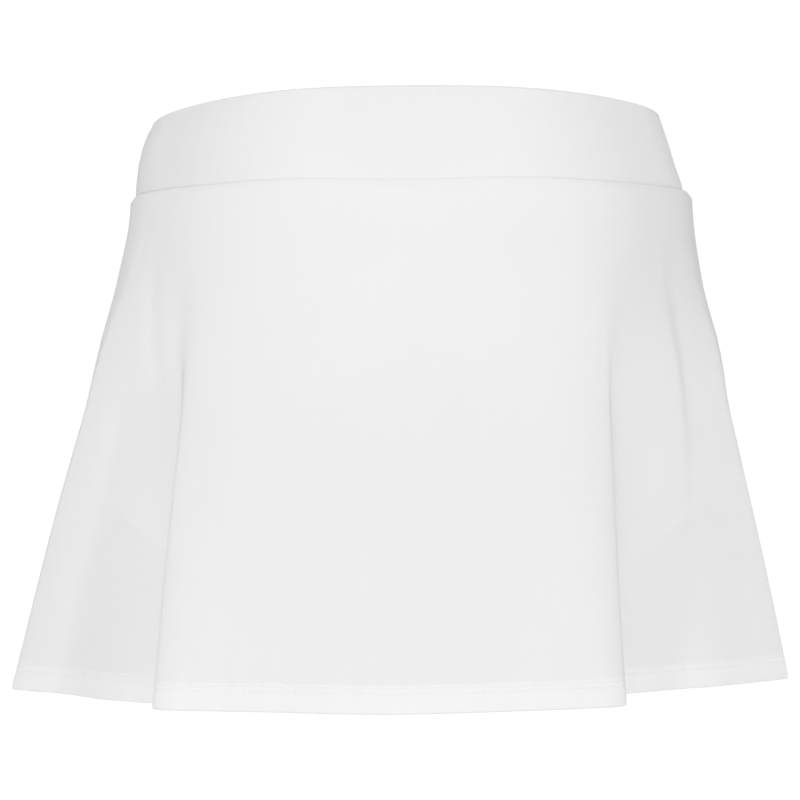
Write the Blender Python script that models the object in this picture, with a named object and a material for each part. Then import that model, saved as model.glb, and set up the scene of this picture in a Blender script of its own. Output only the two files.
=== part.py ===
"""A flared pull-on tennis skirt in its worn form: a wide folded waistband over two fluted panels.

Units are metres, +Z is up and the wearer faces -Y. The origin is the centre of the waistband ring.
Left and right are as seen from the front, so left is -X. A plan angle is in degrees from the centre
front, positive to the right. A drop is a height measured down from the seam under the waistband.
"""

from collections import namedtuple

import bmesh
import bpy
import numpy as np

SEAM_GAP = 0.0003  # between two sewn pieces
SIDE_GAP = 0.0004  # on the outer face at the side seams, where the inner faces lean together

BAND_TOP_FRONT = 0.0261  # top edge of the waistband, above the origin, at the centre front and back
BAND_TOP_LEFT = 0.0162  # and at the two sides, where the band is cut lower
BAND_TOP_RIGHT = 0.0188
BAND_WALL = 0.0024  # two layers of knit
BAND_SQUARENESS = 2.25
BAND_SIDE_ANGLE = 90.0  # the band's own side seams
BAND_COLUMNS = 34
BAND_LEVELS = (1.0, 0.8, 0.6, 0.4, 0.2, 0.05, 0.0)  # rows, from the top edge to the seam

SEAM_HEIGHT = -0.0260  # the ditch between waistband and skirt
SEAM_CREST = 0.0018  # the seam rises this much
SEAM_CREST_ANGLE = 30.0  # at this angle from the centre front and back
SEAM_CREST_WIDTH = 21.0

SKIRT_WALL = 0.0012
SHOULDER_INSET = 0.0026  # the cloth rolls in to the seam by this much at the sides
SHOULDER_FRONT = 0.45  # and by this share of it at the centre front and back
SHOULDER_DROP = 0.0038  # over this height
SHOULDER_CURVE = 1.3
HIP_DROP = 0.0470  # the folds start about here
UPPER_DROP = 0.0740
MID_DROP = 0.1280  # half way down
HEM_DROP = 0.2770  # at the centre front
HEM_SIDE_EXTRA = 0.0013  # the hem hangs this much lower at the sides
HEM_FOLD = 0.0145  # height of the turned-up hem
HEM_WALL = 0.0022  # two layers
HEM_STEP = 0.0010  # the wall thickens over this height, at the top of the turned-up hem
HEM_ROWS = 2  # rows of points on the thick wall

HEM_SAMPLES = 1440  # steps of the outline before columns are chosen
COLUMN_SPACING = 0.019  # one column of faces for each such length of hem
COLUMN_TURN = 17.0  # or for each such turn, in degrees, of the hem or the cloth half way down

BandRing = namedtuple("BandRing", "level left right depth")
BAND_RINGS = (
    BandRing(0.00, 0.1553, 0.1575, 0.1150),
    BandRing(0.35, 0.1541, 0.1531, 0.1118),
    BandRing(0.70, 0.1507, 0.1484, 0.1082),
    BandRing(1.00, 0.1447, 0.1440, 0.1045),
)

Section = namedtuple("Section", "drop left right front back squareness")
SECTIONS = (
    Section(0.0, 0.1583, 0.1627, 0.1161, 0.1161, 2.25),
    Section(HIP_DROP, 0.1656, 0.1673, 0.1240, 0.1270, 2.20),
    Section(0.105, 0.1826, 0.1832, 0.1356, 0.1385, 2.10),
    Section(0.174, 0.2033, 0.1990, 0.1494, 0.1505, 2.05),
    Section(0.278, 0.2310, 0.2225, 0.1700, 0.1665, 2.00),
)

# A flute's crest, edge, return or valley: its angle at three levels, the drop where it starts, how far it
# lies inside the section at three levels, and how far along the hem its bend is spread.
FOLD_COLUMNS = "name hip_angle mid_angle hem_angle start upper_inset mid_inset hem_inset softness"
Fold = namedtuple("Fold", FOLD_COLUMNS)
FOLDS = (
    Fold("back crest", -172, -173, -174, 0.047, 0.0000, 0.0000, 0.0000, 0.016),
    Fold("back left valley", -153, -155, -158, 0.052, 0.0017, 0.0120, 0.0340, 0.012),
    Fold("back left crest", -137, -140, -143, 0.047, 0.0000, 0.0000, 0.0010, 0.013),
    Fold("left rear valley", -123, -126, -130, 0.047, 0.0026, 0.0140, 0.0370, 0.011),
    Fold("left rear crest", -109, -110, -114, 0.030, -0.0020, -0.0080, 0.0020, 0.010),
    Fold("left rear hollow", -99, -101, -105, 0.030, 0.0010, 0.0040, 0.0160, 0.009),
    Fold("left side seam", -90, -91, -95, 0.024, 0.0034, 0.0095, 0.0115, 0.006),
    Fold("left side crest", -69, -76.5, -84, 0.012, -0.0068, -0.0022, 0.0015, 0.0035),
    Fold("left outer panel", -63.5, -68, -75.5, 0.016, -0.0018, 0.0105, 0.0266, 0.0075),
    Fold("left inner panel", -59, -60, -60.5, 0.018, 0.0012, 0.0138, 0.0269, 0.008),
    Fold("left flute valley", -54, -51.8, -49.6, 0.034, 0.0030, 0.0122, 0.0290, 0.0072),
    Fold("left flute edge", -49.8, -48.9, -45.8, 0.038, 0.0000, 0.0012, 0.0006, 0.0056),
    Fold("front left hollow", -27, -27, -28, 0.047, 0.0000, 0.0010, 0.0090, 0.018),
    Fold("front crest", -5, -5, -5, 0.047, 0.0000, 0.0000, 0.0000, 0.018),
    Fold("front right hollow", 19, 19, 19, 0.047, 0.0000, 0.0010, 0.0080, 0.018),
    Fold("right flute face", 36, 35.5, 35.5, 0.047, 0.0000, 0.0008, 0.0068, 0.01),
    Fold("right flute edge", 44.8, 42.8, 40.1, 0.034, 0.0004, 0.0024, 0.0070, 0.009),
    Fold("right flute return", 47.6, 44.6, 45, 0.034, 0.0018, 0.0086, 0.0470, 0.0075),
    Fold("right flute valley", 50.8, 48, 54.5, 0.028, 0.0038, 0.0128, 0.0625, 0.008),
    Fold("right small crest", 57, 57, 65, 0.020, 0.0045, 0.0140, 0.0600, 0.009),
    Fold("right small edge", 61.5, 64.5, 71.5, 0.024, 0.0022, 0.0112, 0.0555, 0.007),
    Fold("right small valley", 65.8, 67.6, 76, 0.024, 0.0066, 0.0150, 0.0440, 0.009),
    Fold("right outer panel", 69.5, 74, 84, 0.020, 0.0020, 0.0108, 0.0270, 0.0085),
    Fold("right side crest", 75, 80, 90, 0.020, -0.0020, 0.0028, 0.0040, 0.0038),
    Fold("right side seam", 90, 90, 97, 0.030, 0.0012, 0.0070, 0.0105, 0.008),
    Fold("right rear hollow", 104, 103, 105, 0.047, 0.0010, 0.0060, 0.0160, 0.010),
    Fold("right rear crest", 117, 115, 114, 0.047, 0.0000, 0.0000, 0.0040, 0.012),
    Fold("right rear valley", 135, 131, 129, 0.050, 0.0020, 0.0120, 0.0350, 0.012),
    Fold("back right crest", 152, 149, 147, 0.047, 0.0000, 0.0000, 0.0020, 0.014),
    Fold("back right valley", 170, 168, 166, 0.055, 0.0012, 0.0130, 0.0370, 0.013),
)
LEFT_SEAM = "left side seam"  # the folds that the side seams run down
RIGHT_SEAM = "right side seam"

ROW_DROPS = (0.0, 0.0012, 0.0035, 0.016, 0.031, 0.047, 0.063, 0.082, 0.104, 0.128, 0.155, 0.184, 0.212, 0.239)
HEM_ROW_DROPS = (HEM_DROP - HEM_FOLD - HEM_STEP, HEM_DROP - HEM_FOLD, HEM_DROP)

CLOTH_COLOUR = (0.88, 0.88, 0.88, 1.0)
CLOTH_ROUGHNESS = 0.7


def smooth_through(x, knots, values):
    """A smooth curve through the knots that stays between its values and starts level."""
    knots = np.asarray(knots, float)
    values = np.asarray(values, float)
    widths = np.diff(knots)
    rises = np.diff(values) / widths
    slopes = np.zeros(len(knots))
    same_way = rises[:-1] * rises[1:] > 0
    weight = (widths[1:] + 2 * widths[:-1]) / (3 * (widths[1:] + widths[:-1]))
    product = rises[:-1] * rises[1:]
    blend = weight * rises[1:] + (1 - weight) * rises[:-1]
    slopes[1:-1][same_way] = (product / np.where(same_way, blend, 1))[same_way]
    slopes[-1] = rises[-1]
    x = np.clip(x, knots[0], knots[-1])
    cell = np.clip(np.searchsorted(knots, x, side="right") - 1, 0, len(widths) - 1)
    t = (x - knots[cell]) / widths[cell]
    start, end = values[cell], values[cell + 1]
    lift_start = slopes[cell] * widths[cell]
    lift_end = slopes[cell + 1] * widths[cell]
    return (
        start * (2 * t**3 - 3 * t**2 + 1)
        + lift_start * (t**3 - 2 * t**2 + t)
        + end * (3 * t**2 - 2 * t**3)
        + lift_end * (t**3 - t**2)
    )


def at_drop(table, drop, column):
    return smooth_through(drop, [row.drop for row in table], [getattr(row, column) for row in table])


def oval_radius(angle, left, right, front, back, squareness):
    """Distance from the axis to a squarish oval with its own reach on each of four sides."""
    turn = np.radians(angle)
    across, along = np.sin(turn), np.cos(turn)
    side = np.where(across < 0, left, right)
    face = np.where(along > 0, front, back)
    return (np.abs(across / side) ** squareness + np.abs(along / face) ** squareness) ** (-1 / squareness)


def plan_points(angle, radius):
    turn = np.radians(angle)
    return np.stack([radius * np.sin(turn), -radius * np.cos(turn)], axis=-1)


def section_radius(angle, drop):
    names = ("left", "right", "front", "back", "squareness")
    return oval_radius(angle, *(at_drop(SECTIONS, drop, name) for name in names))


def fold_angle(fold, drop):
    levels = (HIP_DROP, MID_DROP, HEM_DROP)
    return smooth_through(drop, levels, (fold.hip_angle, fold.mid_angle, fold.hem_angle))


def fold_inset(fold, drop):
    levels = (fold.start, UPPER_DROP, MID_DROP, HEM_DROP)
    insets = (0.0, fold.upper_inset, fold.mid_inset, fold.hem_inset)
    return smooth_through(drop, levels, insets)


class Hem:
    """The folds' places along the hem, and the weights that spread each bend over its softness."""

    def __init__(self):
        angles = np.array([fold.hem_angle for fold in FOLDS], float)
        radii = section_radius(angles, HEM_DROP) - [fold.hem_inset for fold in FOLDS]
        corners = plan_points(angles, radii)
        steps = np.linalg.norm(np.roll(corners, -1, axis=0) - corners, axis=1)
        self.knots = np.concatenate([[0.0], np.cumsum(steps)])
        self.length = self.knots[-1]
        self.places = np.arange(HEM_SAMPLES) * self.length / HEM_SAMPLES
        softness = self.along([fold.softness for fold in FOLDS])
        apart = np.abs(self.places[:, None] - self.places[None, :])
        apart = np.minimum(apart, self.length - apart)
        self.weights = np.exp(-0.5 * (apart / softness[:, None]) ** 2)
        self.weights /= self.weights.sum(axis=1, keepdims=True)

    def along(self, values, wrap=0.0):
        """One value for each sample, on straight lines between the folds' own values."""
        return np.interp(self.places, self.knots, list(values) + [values[0] + wrap])

    def place_of(self, name):
        return self.knots[[fold.name for fold in FOLDS].index(name)]

    def outline(self, drop):
        """The skirt's closed outline in plan at this drop: angles and radii of all the samples."""
        level = 360.0 * self.places / self.length
        angle = self.along([fold_angle(fold, drop) for fold in FOLDS], wrap=360.0)
        angle = level + self.weights @ (angle - level)
        inset = self.weights @ self.along([fold_inset(fold, drop) for fold in FOLDS])
        roll = SHOULDER_INSET * max(0.0, 1 - drop / SHOULDER_DROP) ** SHOULDER_CURVE
        roll = roll * (SHOULDER_FRONT + (1 - SHOULDER_FRONT) * np.sin(np.radians(angle)) ** 4)
        return angle, section_radius(angle, drop) - inset - roll


def seam_height(angle):
    """Height of the ditch under the waistband: level, with a low crest each side of the centres."""
    from_centre = (angle + 90.0) % 180.0 - 90.0
    from_crests = (from_centre - SEAM_CREST_ANGLE, from_centre + SEAM_CREST_ANGLE)
    return SEAM_HEIGHT + SEAM_CREST * sum(np.exp(-((away / SEAM_CREST_WIDTH) ** 2)) for away in from_crests)


def skirt_height(angle, drop):
    side = np.sin(np.radians(angle)) ** 4
    share = drop / HEM_DROP
    crest = (seam_height(angle) - SEAM_HEIGHT) * (1 - share)
    return SEAM_HEIGHT - SEAM_GAP / 2 + crest - drop - HEM_SIDE_EXTRA * side * share


def outline_turn(hem, drop):
    """How far the outline turns at each sample, in degrees."""
    angle, radius = hem.outline(drop)
    points = plan_points(angle, radius)
    ahead = np.roll(points, -1, axis=0) - points
    heading = np.arctan2(ahead[:, 1], ahead[:, 0])
    turn = (np.roll(heading, -1) - heading + np.pi) % (2 * np.pi) - np.pi
    return np.degrees(np.abs(turn))


def column_places(hem, first, last):
    """Places along the hem from one seam to the next, closer together where the skirt bends."""
    turn = np.maximum(outline_turn(hem, MID_DROP), outline_turn(hem, HEM_DROP))
    step = hem.length / HEM_SAMPLES
    pace = np.tile(step / COLUMN_SPACING + turn / COLUMN_TURN, 2)
    places = np.arange(2 * HEM_SAMPLES) * step
    count = np.cumsum(pace)
    start, end = np.interp([first, last], places, count)
    columns = int(round(end - start))
    return np.interp(np.linspace(start, end, columns + 1), count, places)


def skirt_grid(hem, first, last):
    """Rows of points down the panel between two places on the hem, on its outer face."""
    places = column_places(hem, first, last)
    twice = np.arange(2 * HEM_SAMPLES) * hem.length / HEM_SAMPLES
    rows = []
    for drop in ROW_DROPS + HEM_ROW_DROPS:
        angle, radius = hem.outline(drop)
        angle = np.interp(places, twice, np.concatenate([angle, angle + 360.0]))
        radius = np.interp(places, twice, np.tile(radius, 2))
        rows.append(np.column_stack([plan_points(angle, radius), skirt_height(angle, drop)]))
    return np.array(rows)


def band_grid(first, last):
    """Rows of points up one half of the waistband, on its outer face."""
    angle = np.linspace(first, last, BAND_COLUMNS + 1)
    turn = np.sin(np.radians(angle))
    side = BAND_TOP_LEFT + (BAND_TOP_RIGHT - BAND_TOP_LEFT) * (1 + turn) / 2
    top = side + (BAND_TOP_FRONT - side) * (1 - turn**4)
    foot = seam_height(angle) + SEAM_GAP / 2
    levels = [ring.level for ring in BAND_RINGS]
    rows = []
    for level in BAND_LEVELS:
        left = smooth_through(level, levels, [ring.left for ring in BAND_RINGS])
        right = smooth_through(level, levels, [ring.right for ring in BAND_RINGS])
        depth = smooth_through(level, levels, [ring.depth for ring in BAND_RINGS])
        radius = oval_radius(angle, left, right, depth, depth, BAND_SQUARENESS)
        rows.append(np.column_stack([plan_points(angle, radius), foot + level * (top - foot)]))
    return np.array(rows)


def trim_ends(grid):
    """Moves the first and last column half a side gap away from the neighbouring piece."""
    for end, inner in ((0, 1), (-1, -2)):
        along = grid[:, inner] - grid[:, end]
        grid[:, end] += along / np.linalg.norm(along, axis=1, keepdims=True) * SIDE_GAP / 2
    return grid


def cloth_material():
    material = bpy.data.materials.new("white_knit")
    material.use_nodes = True
    shader = material.node_tree.nodes["Principled BSDF"]
    shader.inputs["Base Color"].default_value = CLOTH_COLOUR
    shader.inputs["Roughness"].default_value = CLOTH_ROUGHNESS
    shader.inputs["Metallic"].default_value = 0.0
    return material


def cloth_piece(name, grid, wall, material, hem_wall=None):
    """An object whose mesh is the outer face, given its wall by Solidify, thicker on the hem's rows."""
    row_count, column_count = grid.shape[:2]
    mesh = bpy.data.meshes.new(name)
    shell = bmesh.new()
    points = [[shell.verts.new(point) for point in row] for row in grid]
    for row in range(row_count - 1):
        for column in range(column_count - 1):
            upper, lower = points[row], points[row + 1]
            shell.faces.new((upper[column], lower[column], lower[column + 1], upper[column + 1]))
    shell.to_mesh(mesh)
    shell.free()
    mesh.shade_smooth()
    mesh.materials.append(material)
    piece = bpy.data.objects.new(name, mesh)
    bpy.context.scene.collection.objects.link(piece)

    solidify = piece.modifiers.new("Wall", "SOLIDIFY")
    solidify.thickness = hem_wall or wall
    solidify.offset = -1.0
    solidify.use_even_offset = True
    if hem_wall:
        group = piece.vertex_groups.new(name="Hem")
        thin = (row_count - HEM_ROWS) * column_count
        group.add(list(range(thin)), wall / hem_wall, "REPLACE")
        group.add(list(range(thin, row_count * column_count)), 1.0, "REPLACE")
        solidify.vertex_group = group.name
    return piece


def make_waistband(material):
    side = BAND_SIDE_ANGLE
    cloth_piece("waistband_front", trim_ends(band_grid(-side, side)), BAND_WALL, material)
    cloth_piece("waistband_back", trim_ends(band_grid(side, 360.0 - side)), BAND_WALL, material)


def make_skirt(material):
    hem = Hem()
    left = hem.place_of(LEFT_SEAM)
    right = hem.place_of(RIGHT_SEAM)
    for name, first, last in (("skirt_front", left, right), ("skirt_back", right, left + hem.length)):
        grid = trim_ends(skirt_grid(hem, first, last))
        cloth_piece(name, grid, SKIRT_WALL, material, HEM_WALL)


def main():
    for obj in list(bpy.data.objects):
        bpy.data.objects.remove(obj)
    material = cloth_material()
    make_waistband(material)
    make_skirt(material)


main()
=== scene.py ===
"""The looks of a flared pull-on tennis skirt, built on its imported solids.

Units are metres, +Z is up and the wearer faces -Y. The origin is the centre of the waistband ring.
Left and right are as seen from the front, so left is -X. A plan angle is in degrees from the centre
front, positive to the right. A drop is a height measured down from the seam under the waistband,
a rise is one measured up from it, or from the hem's edge for the stitches there, and a depth is measured
inwards from the outer face of the cloth. A place is a distance along the hem.
"""

from collections import namedtuple

import bpy
import numpy as np
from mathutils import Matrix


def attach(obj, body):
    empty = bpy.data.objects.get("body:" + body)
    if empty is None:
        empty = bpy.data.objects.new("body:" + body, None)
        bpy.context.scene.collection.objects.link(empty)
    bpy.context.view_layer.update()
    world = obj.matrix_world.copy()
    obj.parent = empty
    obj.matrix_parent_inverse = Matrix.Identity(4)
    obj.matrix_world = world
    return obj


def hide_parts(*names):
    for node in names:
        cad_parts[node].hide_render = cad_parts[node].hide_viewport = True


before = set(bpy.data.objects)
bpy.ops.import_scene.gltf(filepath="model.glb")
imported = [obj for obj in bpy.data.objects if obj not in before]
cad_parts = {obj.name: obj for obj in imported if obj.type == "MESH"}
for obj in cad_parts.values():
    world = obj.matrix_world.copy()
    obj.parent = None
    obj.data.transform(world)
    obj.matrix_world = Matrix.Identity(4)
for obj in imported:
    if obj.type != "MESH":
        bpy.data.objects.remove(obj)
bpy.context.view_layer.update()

# The form, as the solids have it.

SEAM_GAP = 0.00002  # closed up, where the solids stand 0.3 mm apart
BAND_TOP_FRONT = 0.0261  # heights of the band's top edge
BAND_TOP_LEFT = 0.0162
BAND_TOP_RIGHT = 0.0188
BAND_SQUARENESS = 2.25
BAND_SIDE_ANGLE = 90.0  # where its halves meet
BAND_SIDE_REACH = 0.155  # its radius there
BAND_GIRTH = 0.135  # its girth over two pi
SEAM_HEIGHT = -0.0260
SEAM_CREST = 0.0018  # of the seam, each side of the centres
SEAM_CREST_ANGLE = 30.0
SEAM_CREST_WIDTH = 21.0
SHOULDER_INSET = 0.0026  # how far the skirt's top draws in at the sides, over the drop below
SHOULDER_FRONT = 0.45  # share of it at the centre front and back
SHOULDER_DROP = 0.0038
SHOULDER_CURVE = 1.3
HIP_DROP = 0.0470
UPPER_DROP = 0.0740
MID_DROP = 0.1280
HEM_DROP = 0.2770
HEM_SIDE_EXTRA = 0.0013  # how much lower the hem hangs at the sides
HEM_SAMPLES = 1440

BandRing = namedtuple("BandRing", "level left right depth")
BAND_RINGS = (
    BandRing(0.00, 0.1553, 0.1575, 0.1150),
    BandRing(0.35, 0.1541, 0.1531, 0.1118),
    BandRing(0.70, 0.1507, 0.1484, 0.1082),
    BandRing(1.00, 0.1447, 0.1440, 0.1045),
)

# The skirt's level sections without their flutes: how far each reaches from the axis.

Section = namedtuple("Section", "drop left right front back squareness")
SECTIONS = (
    Section(0.0, 0.1583, 0.1627, 0.1161, 0.1161, 2.25),
    Section(HIP_DROP, 0.1656, 0.1673, 0.1240, 0.1270, 2.20),
    Section(0.105, 0.1826, 0.1832, 0.1356, 0.1385, 2.10),
    Section(0.174, 0.2033, 0.1990, 0.1494, 0.1505, 2.05),
    Section(0.278, 0.2310, 0.2225, 0.1700, 0.1665, 2.00),
)

# The flutes, from the back round by the left, the front and the right: the angle of each bend at three
# levels, the drop where it starts, how far it lies inside the sections below and how softly it is rounded.

FOLD_COLUMNS = "name hip_angle mid_angle hem_angle start upper_inset mid_inset hem_inset softness"
Fold = namedtuple("Fold", FOLD_COLUMNS)
FOLDS = (
    Fold("back crest", -172, -173, -174, 0.047, 0.0000, 0.0000, 0.0000, 0.016),
    Fold("back left valley", -153, -155, -158, 0.052, 0.0017, 0.0120, 0.0340, 0.012),
    Fold("back left crest", -137, -140, -143, 0.047, 0.0000, 0.0000, 0.0010, 0.013),
    Fold("left rear valley", -123, -126, -130, 0.047, 0.0026, 0.0140, 0.0370, 0.011),
    Fold("left rear crest", -109, -110, -114, 0.030, -0.0020, -0.0080, 0.0020, 0.010),
    Fold("left rear hollow", -99, -101, -105, 0.030, 0.0010, 0.0040, 0.0160, 0.009),
    Fold("left side seam", -90, -91, -95, 0.024, 0.0034, 0.0095, 0.0115, 0.006),
    Fold("left side crest", -69, -76.5, -84, 0.012, -0.0068, -0.0022, 0.0015, 0.0035),
    Fold("left outer panel", -63.5, -68, -75.5, 0.016, -0.0018, 0.0105, 0.0266, 0.0075),
    Fold("left inner panel", -59, -60, -60.5, 0.018, 0.0012, 0.0138, 0.0269, 0.008),
    Fold("left flute valley", -54, -51.8, -49.6, 0.034, 0.0030, 0.0122, 0.0290, 0.0072),
    Fold("left flute edge", -49.8, -48.9, -45.8, 0.038, 0.0000, 0.0012, 0.0006, 0.0056),
    Fold("front left hollow", -27, -27, -28, 0.047, 0.0000, 0.0010, 0.0090, 0.018),
    Fold("front crest", -5, -5, -5, 0.047, 0.0000, 0.0000, 0.0000, 0.018),
    Fold("front right hollow", 19, 19, 19, 0.047, 0.0000, 0.0010, 0.0080, 0.018),
    Fold("right flute face", 36, 35.5, 35.5, 0.047, 0.0000, 0.0008, 0.0068, 0.01),
    Fold("right flute edge", 44.8, 42.8, 40.1, 0.034, 0.0004, 0.0024, 0.0070, 0.009),
    Fold("right flute return", 47.6, 44.6, 45, 0.034, 0.0018, 0.0086, 0.0470, 0.0075),
    Fold("right flute valley", 50.8, 48, 54.5, 0.028, 0.0038, 0.0128, 0.0625, 0.008),
    Fold("right small crest", 57, 57, 65, 0.020, 0.0045, 0.0140, 0.0600, 0.009),
    Fold("right small edge", 61.5, 64.5, 71.5, 0.024, 0.0022, 0.0112, 0.0555, 0.007),
    Fold("right small valley", 65.8, 67.6, 76, 0.024, 0.0066, 0.0150, 0.0440, 0.009),
    Fold("right outer panel", 69.5, 74, 84, 0.020, 0.0020, 0.0108, 0.0270, 0.0085),
    Fold("right side crest", 75, 80, 90, 0.020, -0.0020, 0.0028, 0.0040, 0.0038),
    Fold("right side seam", 90, 90, 97, 0.030, 0.0012, 0.0070, 0.0105, 0.008),
    Fold("right rear hollow", 104, 103, 105, 0.047, 0.0010, 0.0060, 0.0160, 0.010),
    Fold("right rear crest", 117, 115, 114, 0.047, 0.0000, 0.0000, 0.0040, 0.012),
    Fold("right rear valley", 135, 131, 129, 0.050, 0.0020, 0.0120, 0.0350, 0.012),
    Fold("back right crest", 152, 149, 147, 0.047, 0.0000, 0.0000, 0.0020, 0.014),
    Fold("back right valley", 170, 168, 166, 0.055, 0.0012, 0.0130, 0.0370, 0.013),
)
LEFT_SEAM = "left side seam"
RIGHT_SEAM = "right side seam"

# The cloth, finer than the solids.

KNIT = 0.0008  # one layer
BAND_THICKNESS = 0.0022  # two layers and what lies between them
HEM_THICKNESS = 0.0019  # two layers
HEM_EDGE_RADIUS = HEM_THICKNESS / 2
TURN_UP = 0.0150  # height of the raw edge inside the hem
UPPER_STITCHES = 0.0132  # above the hem's edge
LOWER_STITCHES = 0.0103
STITCH_GROOVE = 0.00022  # how deep a row of stitches pulls the cloth in
STITCH_GROOVE_WIDTH = 0.0006
HEM_SWELL = 0.00018  # how far the double cloth stands out between the rows and below them
ALLOWANCE = 0.0085  # of the waist seam, hanging inside the skirt
SEAM_ALLOWANCE = 0.0070  # of a side seam, lying flat inside the skirt
ROLL = 0.0005  # how far the foot of the band rolls in to the seam
ROLL_HEIGHT = 0.0016  # over this height
ALLOWANCE_FACE = ROLL + 0.0004  # depth of the waist allowance's outer face
ALLOWANCE_BACK = ALLOWANCE_FACE + BAND_THICKNESS
LIP_WIDTH = 0.0003  # of the ledge's flat edge
LIP_DROP = 0.0001  # from it to the next row, so close that the shading of the ledge stays its own
TUCK_FALL = 0.0002  # how far the skirt's cloth falls from the ledge to the foot of the band
TUCK_THICKNESS = 0.0008
TUCK_LEAST = 0.0001  # its least width
DITCH_DEPTH = 0.0006  # at a side seam
DITCH_WIDTH = 0.0011

# The rows and columns of the cloth's meshes. A cut is a section through the cloth, as pairs of a height
# along it and a depth in it.

ROW_STEP = 0.0032
INNER_ROW_STEP = 0.0064
SHOULDER_ROW_STEP = 0.0005
HEM_ROW_STEP = 0.00045
HEM_MARGIN = 0.001  # how far above the raw edge and above the fold the hem's close rows start
HEM_FOLD_POINTS = 9
RAW_EDGE_MARGIN = 0.0006
RAW_EDGE_CUT = (  # drop past the raw edge, and depth
    (0.0004, HEM_THICKNESS),
    (0.0, HEM_THICKNESS - 0.0003),
    (0.0, KNIT + 0.0001),
)
TOP_DROPS = (SHOULDER_DROP, 0.0014)  # of the last rows inside, behind the ledge
COLUMN_SPACING = 0.0030
COLUMN_TURN = 4.0  # degrees of bend that add a column
SIDE_COLUMN_SPACING = 0.0005
SIDE_COLUMN_REACH = 0.0030
BAND_STEP = 0.6  # degrees
BAND_ROWS = 20
BAND_ROWS_END = 0.05  # share of the band's height where they stop, above its roll
BAND_INNER_ROWS = 12
BAND_INNER_START = 0.08
BAND_FOLD_POINTS = 10
ROLL_RISES = (ROLL_HEIGHT, 0.0010, 0.0006, 0.0003, 0.0)
EDGE_ROUND = 0.0006
ALLOWANCE_CUT = (  # rise and depth, down its outer face, round its edge and up its inner face
    (-0.0006, ALLOWANCE_FACE - 0.0001),
    (-0.0020, ALLOWANCE_FACE),
    (-0.0040, ALLOWANCE_FACE),
    (-0.0060, ALLOWANCE_FACE),
    (EDGE_ROUND - ALLOWANCE, ALLOWANCE_FACE),
    (-ALLOWANCE, ALLOWANCE_FACE + EDGE_ROUND),
    (-ALLOWANCE, ALLOWANCE_BACK - EDGE_ROUND),
    (EDGE_ROUND - ALLOWANCE, ALLOWANCE_BACK),
    (-0.0060, ALLOWANCE_BACK),
    (-0.0030, ALLOWANCE_BACK),
    (-0.0012, ALLOWANCE_BACK - 0.0001),
    (-0.0004, ALLOWANCE_BACK - 0.0006),
    (0.0001, ALLOWANCE_BACK - 0.0014),
    (0.0006, BAND_THICKNESS),
    (0.0012, BAND_THICKNESS),
)
SIDE_CUT = (  # a side allowance's distance from the seam, and its depth under the panel
    (0.0002, -0.0001),
    (0.0024, 0.0002),
    (0.0048, 0.0002),
    (SEAM_ALLOWANCE, 0.0001),
)
SIDE_ROWS = 84
SIDE_END = 0.0008  # how far above the hem's raw edge a side allowance ends
NORMAL_STEP = 0.0004  # between the points that give the way the cloth faces
NORMAL_TURN = 0.05  # the same, in degrees
PLACE_STEP = 0.0005  # fine enough to measure true distance along the hem

STITCH_LENGTH = 0.0026
STITCH_GAP = 0.0005
STITCH_ARCH = (0.00034, 0.00002, -0.00012, -0.00015, -0.00012, 0.00002, 0.00034)  # its depth
STITCH_TAPER = (0.6, 0.95, 1.0, 1.0, 1.0, 0.95, 0.6)  # its thickness, both from end to end
THREAD = 0.00014  # its radius
LOOPER_THREAD = 0.00018
LOOPER_TURNS = (  # share of a stitch along the hem, and rise
    (0.0, UPPER_STITCHES),
    (0.35, UPPER_STITCHES + 0.0009),
    (0.55, LOWER_STITCHES),
    (0.8, LOWER_STITCHES - 0.0008),
)
OVERLOCK_STEP = 0.0024
OVERLOCK_WIDTH = 0.0048  # of the waist's, in from the cut edge
SIDE_OVERLOCK_WIDTH = 0.0040
OVERLOCK_PAST = 0.0002  # how far the thread lies past the edge
OVERLOCK_STAND = 0.0001  # how far its middle stands out from the cloth
OVERLOCK_OUTWARD = (0.01, 0.01, 1.01)  # a way that none of its turns follows
PROBE = 0.001  # between two depths that give the way out of the cloth
THREAD_SIDES = 6
WALE = 0.00062  # width of one column of knit stitches
COURSE = 0.00046  # height of one row

SHEEN_ROUGHNESS = 0.3
SPECULAR = 0.25
CLOTH_ROUGHNESS = 0.80
CLOTH_SHEEN = 0.42
CLOTH_DARK = (0.805, 0.807, 0.812)  # in the shade between stitches
CLOTH_LIGHT = (0.945, 0.945, 0.942)
KNIT_LEAN = 1.1  # how steeply the legs of a stitch lean
KNIT_LEG = 0.25  # how far from the middle of its column each leg lies, in columns
KNIT_ROWS = 0.2  # share of the stitches' relief that goes up and down with the rows
KNIT_DEPTH = 0.00008
STREAK_DEPTH = 0.00003
PULL_DEPTH = 0.00008
PULL_WIDTH = 0.0009  # of the tone and relief at a row of stitches
YARN_ROUGHNESS = 0.10  # how far the roughness goes up and down with the yarn
THREAD_ROUGHNESS = 0.60
THREAD_SHEEN = 0.05
THREAD_DARK = (0.80, 0.80, 0.80)
THREAD_LIGHT = (0.90, 0.90, 0.895)
TWIST_DEPTH = 0.00003
TWIST_ROUGHNESS = 0.12

# Waves to the metre of the soft random tones, across and up, and shares in the tone of the cloth or thread,
# which goes from 0 where it is dark to 1 where it is light.

YARN_WAVES = (1400.0, 1900.0)
STREAK_WAVES_UP = 5.0
PATCH_WAVES = (22.0, 22.0)
WOBBLE_WAVES = (34.0, 21.0)
TWIST_WAVES = (3200.0, 5200.0)
SHADE_WAVES = (60.0, 60.0)
STITCH_SHARE = 0.22
YARN_SHARE = 0.16
PATCH_SHARE = 0.14
# painted shade along the hem's rows of stitches, beside their real grooves
ROWS_SHADE_SHARE = -0.02
TWIST_SHARE = 0.6

# What a look adds to the tone: left and right are painted shade on either side, between two distances from
# the middle; hem is painted light on the double cloth; the single-layer weight is painted shade where the
# front hangs free, and the backing weight is painted light on the outer thighs. streaks is in waves to the
# metre across the cloth, and wobble the height of slow waves in it.

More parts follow.
